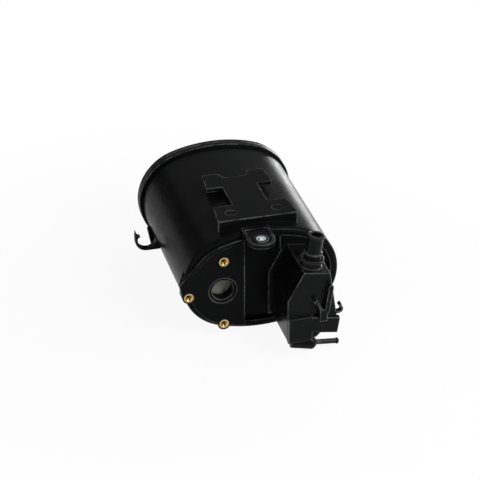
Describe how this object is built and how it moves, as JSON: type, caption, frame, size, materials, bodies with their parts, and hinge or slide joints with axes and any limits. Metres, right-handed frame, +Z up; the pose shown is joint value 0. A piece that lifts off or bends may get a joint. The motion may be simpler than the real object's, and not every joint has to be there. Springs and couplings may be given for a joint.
{
  "type": "charcoal canister",
  "caption": "Oval black plastic fuel vapour canister with a welded rear cover, a valve pad with brass inserts, a boxy vapour trap with hose nipples, a bracket lug and a slide-on mount plate.",
  "frame": {"origin": "centre of the bounding box in plan, at the level of the flat under the rear weld rim", "axes": "+X to the right seen from the front, where the trap is; +Y from the front wall to the rear cover; +Z up, out of the mount plate"},
  "size_m": [0.172, 0.239, 0.1186],
  "materials": {
    "black_nylon": "satin moulded",
    "brass": "turned",
    "zinc_steel": "zinc plated",
    "filter_fleece": "needled fleece",
    "natural_plastic": "moulded",
    "grey_foam": "open-cell foam",
    "carbon_pellets": "granular"
  },
  "bodies": {
    "root": {"canister_shell": "black_nylon", "rear_cover": "black_nylon", "trap_housing": "black_nylon", "thread_inserts": "brass", "lug_bush": "zinc_steel", "vent_filter": "filter_fleece", "main_front_grid": "natural_plastic", "main_front_foam": "grey_foam", "main_carbon_bed": "carbon_pellets", "main_rear_foam": "grey_foam", "main_pressure_plate": "natural_plastic", "main_spring_upper": "zinc_steel", "main_spring_lower": "zinc_steel", "vent_front_grid": "natural_plastic", "vent_front_foam": "grey_foam", "vent_carbon_bed": "carbon_pellets", "vent_rear_foam": "grey_foam", "vent_pressure_plate": "natural_plastic", "vent_spring": "zinc_steel"}
  },
  "joints": []
}
